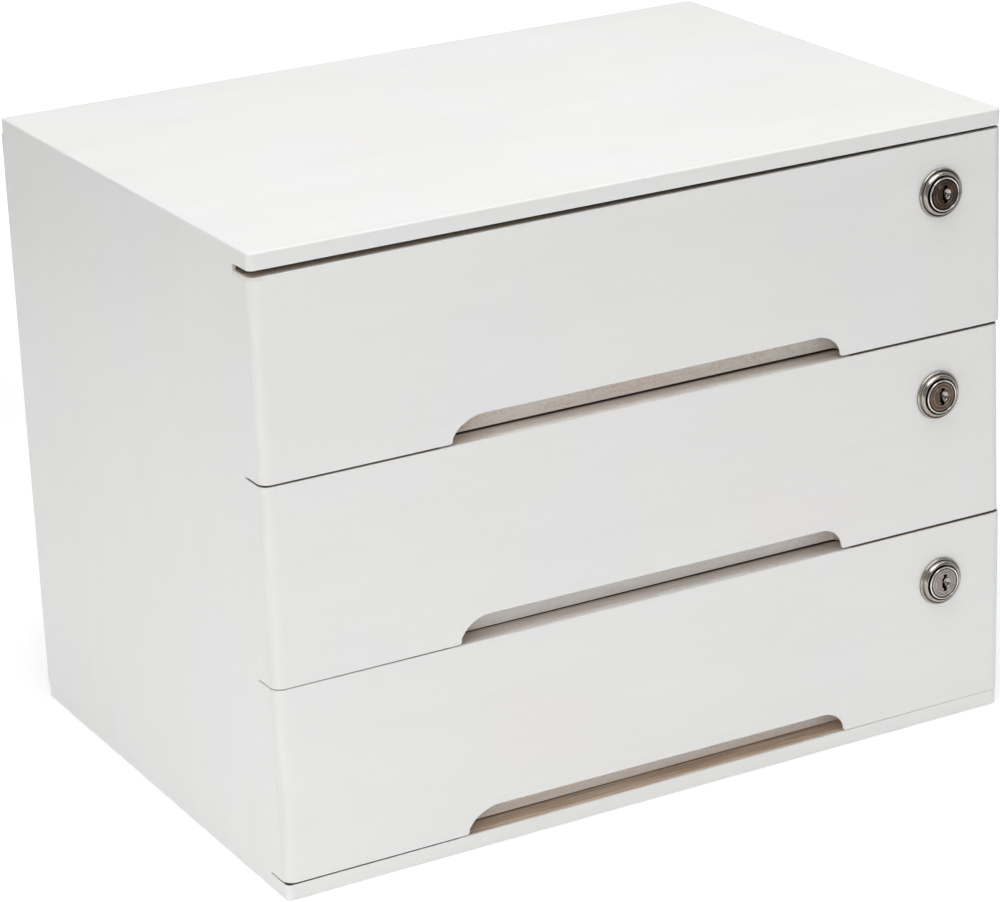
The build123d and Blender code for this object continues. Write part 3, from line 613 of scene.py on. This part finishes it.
def mat_brass(name):
    g = Graph(name + "_brass")
    p = g.vmath("ADD", g.p, seed_of(name))
    haze = g.noise(p, scale=0.7, detail=4.0)
    col = g.mix(haze, (0.72, 0.52, 0.24), (0.52, 0.36, 0.17))
    return g.finish(col, g.add(0.25, g.mul(haze, 0.2)), g.mul(haze, 0.01), metallic=1.0)


def dress(node, mat):
    o = nodes[node]
    o.data.materials.clear()
    o.data.materials.append(mat)


dress("top_panel", mat_top_panel())
dress("bottom_panel", mat_bottom_panel())
dress("left_side", mat_side("left_side", -1))
dress("right_side", mat_side("right_side", 1))
dress("back_panel", mat_back_panel())
dress("back_panel_pins", mat_zinc("back_panel_pins"))
dress("upper_shelf", mat_plain("upper_shelf", "x", "z", 184.4, 6.0))
dress("lower_shelf", mat_plain("lower_shelf", "x", "z", 95.8, 6.0))
# face of each plug, its tarnish, its scoop, and how dark the flange's groove is; the faces differ lock to lock
# partly as real tarnish and partly as painted reflection, and the groove's darkness is painted shade
PLUG = {"top": ((0.150, 0.110, 0.084), (0.042, 0.028, 0.020), (0.46, 0.43, 0.40), 0.85),
        "middle": ((0.150, 0.112, 0.088), (0.052, 0.036, 0.027), (0.46, 0.43, 0.40), 0.40),
        "bottom": ((0.36, 0.32, 0.295), (0.20, 0.165, 0.145), (0.42, 0.38, 0.355), 0.30)}
for d, (lx, lz) in LOCKS.items():
    dress(d + "_drawer_front", mat_front(d))
    lo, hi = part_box(d + "_drawer_left_side")
    dress(d + "_drawer_left_side", mat_plain(d + "_drawer_left_side", "y", "x", (lo.x + hi.x) * 500, 7.0))
    lo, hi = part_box(d + "_drawer_right_side")
    dress(d + "_drawer_right_side", mat_plain(d + "_drawer_right_side", "y", "x", (lo.x + hi.x) * 500, 7.0))
    lo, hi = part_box(d + "_drawer_back")
    dress(d + "_drawer_back", mat_plain(d + "_drawer_back", "x", "y", (lo.y + hi.y) * 500, 7.0))
    lo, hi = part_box(d + "_drawer_bottom")
    dress(d + "_drawer_bottom", mat_plain(d + "_drawer_bottom", "x", "z", (lo.z + hi.z) * 500, 4.0, plies=3))
    dress(d + "_lock_housing", mat_nickel(d + "_lock_housing", lx, lz, rings=((10.02, 0.20, PLUG[d][3]),)))
    dress(d + "_lock_plug", mat_nickel(d + "_lock_plug", lx, lz, base=PLUG[d][0],
                                       rings=((6.73, 0.22, 0.9),), plug=PLUG[d][1:3]))
    dress(d + "_lock_nut", mat_zinc(d + "_lock_nut"))
    dress(d + "_lock_wafers", mat_brass(d + "_lock_wafers"))
    for part in ("cam", "washer", "screw"):
        dress(d + "_lock_" + part, mat_zinc(d + "_lock_" + part))


# ------------------------------------------------------------------- stage
# a plain pale floor that glows a little.  Further from the object it glows
# more, and so meets the pale surroundings without a line.
NEAR, FAR = 0.85, 9.0


def floor_paint(name):
    mat = bpy.data.materials.new(name)
    mat.use_nodes = True
    tree = mat.node_tree
    b = tree.nodes["Principled BSDF"]
    b.inputs["Base Color"].default_value = (0.90, 0.90, 0.90, 1)
    b.inputs["Roughness"].default_value = 0.6
    b.inputs["Specular IOR Level"].default_value = 0.2
    b.inputs["Emission Color"].default_value = (1, 1, 1, 1)
    coord = tree.nodes.new("ShaderNodeTexCoord")
    length = tree.nodes.new("ShaderNodeVectorMath")
    length.operation = "LENGTH"
    tree.links.new(coord.outputs["Object"], length.inputs[0])
    grow = tree.nodes.new("ShaderNodeMapRange")
    grow.interpolation_type = "SMOOTHSTEP"
    for i, v in zip((1, 2, 3, 4), (0.50, 1.10, GLOW, 0.95)):
        grow.inputs[i].default_value = v
    tree.links.new(length.outputs["Value"], grow.inputs[0])
    tree.links.new(grow.outputs[0], b.inputs["Emission Strength"])
    return mat


def ring(name, r0, r1):
    n = 96
    at = [(math.cos(2 * math.pi * i / n), math.sin(2 * math.pi * i / n)) for i in range(n)]
    verts = [(r * cx, r * cy, 0.0) for r in (r0, r1) for cx, cy in at] if r0 else \
            [(r1 * cx, r1 * cy, 0.0) for cx, cy in at]
    faces = [(i, (i + 1) % n, n + (i + 1) % n, n + i)[::-1] for i in range(n)] if r0 else [tuple(range(n))]
    mesh = bpy.data.meshes.new(name)
    mesh.from_pydata(verts, [], faces)
    o = bpy.data.objects.new(name, mesh)
    o.location.z = -0.0003
    scene.collection.objects.link(o)
    mesh.materials.append(floor_paint(name))
    return o


GLOW = 0.24
ring("floor", 0.0, NEAR)
beyond = ring("floor_beyond", NEAR, FAR)
beyond.visible_diffuse = False
beyond.visible_glossy = False

# the room: white where it is seen, soft and low as a light
world = bpy.data.worlds.new("world")
scene.world = world
world.use_nodes = True
wt = world.node_tree
wt.nodes.clear()
wo = wt.nodes.new("ShaderNodeOutputWorld")
wb = wt.nodes.new("ShaderNodeBackground")
seen = wt.nodes.new("ShaderNodeBackground")
seen.inputs[0].default_value = (1, 1, 1, 1)
seen.inputs[1].default_value = 1.0
path = wt.nodes.new("ShaderNodeLightPath")
pick = wt.nodes.new("ShaderNodeMixShader")
wc = wt.nodes.new("ShaderNodeTexCoord")
ws = wt.nodes.new("ShaderNodeSeparateXYZ")
wr = wt.nodes.new("ShaderNodeValToRGB")
wt.links.new(wc.outputs["Generated"], ws.inputs[0])
wt.links.new(ws.outputs[2], wr.inputs[0])
el = wr.color_ramp.elements
el[0].position, el[0].color = 0.0, (0.384, 0.384, 0.384, 1)
el[1].position, el[1].color = 1.0, (0.20, 0.20, 0.20, 1)
wt.links.new(wr.outputs[0], wb.inputs[0])
wb.inputs[1].default_value = 1.0
wt.links.new(path.outputs["Is Camera Ray"], pick.inputs[0])
wt.links.new(wb.outputs[0], pick.inputs[1])
wt.links.new(seen.outputs[0], pick.inputs[2])
wt.links.new(pick.outputs[0], wo.inputs[0])


def area(name, loc, target, size, power, size_y=None, color=(1, 1, 1)):
    l = bpy.data.lights.new(name, "AREA")
    l.shape = "RECTANGLE"
    l.size = size
    l.size_y = size_y or size
    l.energy = power
    l.color = color
    o = bpy.data.objects.new(name, l)
    scene.collection.objects.link(o)
    o.location = loc
    d = Vector(target) - Vector(loc)
    o.rotation_euler = d.to_track_quat("-Z", "Y").to_euler()
    o.visible_camera = False
    return o


area("overhead", (-0.35, -0.55, 1.75), (0, 0, 0), 1.5, 14.6)
area("top_soft", (0.0, 0.10, 1.30), (0, 0.05, 0.28), 1.4, 6.6, 1.2)
near = area("near", (-0.75, -1.25, 0.80), (0, 0, 0.14), 0.8, 4.3, 0.6)
near.visible_glossy = False      # from behind, its reflection would hide the top
area("glint", (0.80, 0.06, 1.22), (0.147, -0.126, 0.2), 0.45, 2.0)
area("pool_left", (-0.60, -0.12, 0.02), (-0.18, -0.02, 0.10), 0.5, 0.4, 0.3)

scene.view_settings.view_transform = "Standard"
scene.view_settings.look = "None"
scene.view_settings.exposure = 0.0
scene.view_settings.gamma = 1.0
